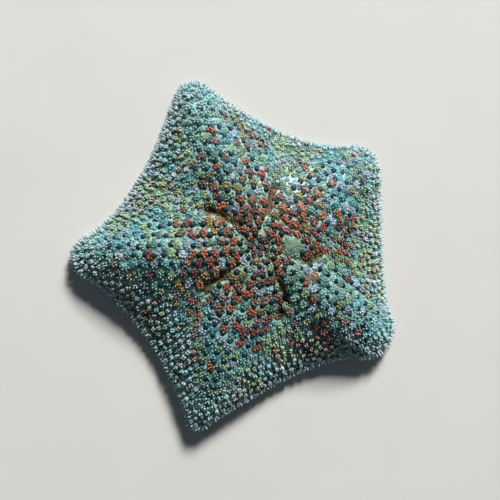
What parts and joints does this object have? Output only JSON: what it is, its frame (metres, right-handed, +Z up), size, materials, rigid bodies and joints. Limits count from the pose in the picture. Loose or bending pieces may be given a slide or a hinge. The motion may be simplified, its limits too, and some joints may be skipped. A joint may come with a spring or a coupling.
{
  "type": "cushion starfish",
  "caption": "Cushion starfish with short broad arms and a low petalled disc, covered in small granular plates, resting on its mouth side.",
  "frame": {"origin": "on the floor, under the middle of the footprint's bounding box", "axes": "+Z up out of the back of the disc; +Y along the longer side of the footprint; +X towards the side with the sieve plate"},
  "size_m": [0.0624, 0.066, 0.0107],
  "materials": {
    "disc_skin": "wet skin, teal green mottled with brick red and olive",
    "arm_skin": "wet skin, aqua to teal, paler and sandy green between the arms",
    "plates": "small crescent plates and their granules, satin under a wet film",
    "papulae": "soft dark teal gill domes, glossy",
    "spinelets": "pale chalky spinelets",
    "tube_feet": "translucent cream tube feet",
    "madreporite": "pale sage, finely grooved, matt",
    "mouth_membrane": "soft tan membrane",
    "jaw_plates": "chalky cream",
    "terminal_plates": "pale aqua, smooth",
    "eyespots": "small red pigment cushions, glossy"
  },
  "bodies": {
    "root": {"disc": "disc_skin", "arm_1": "arm_skin", "arm_2": "arm_skin", "arm_3": "arm_skin", "arm_4": "arm_skin", "arm_5": "arm_skin", "madreporite": "madreporite", "peristome": "mouth_membrane", "jaw_1": "jaw_plates", "jaw_2": "jaw_plates", "jaw_3": "jaw_plates", "jaw_4": "jaw_plates", "jaw_5": "jaw_plates", "terminal_plate_1": "terminal_plates", "terminal_plate_2": "terminal_plates", "terminal_plate_3": "terminal_plates", "terminal_plate_4": "terminal_plates", "terminal_plate_5": "terminal_plates", "eyespot_1": "eyespots", "eyespot_2": "eyespots", "eyespot_3": "eyespots", "eyespot_4": "eyespots", "eyespot_5": "eyespots"}
  },
  "joints": []
}
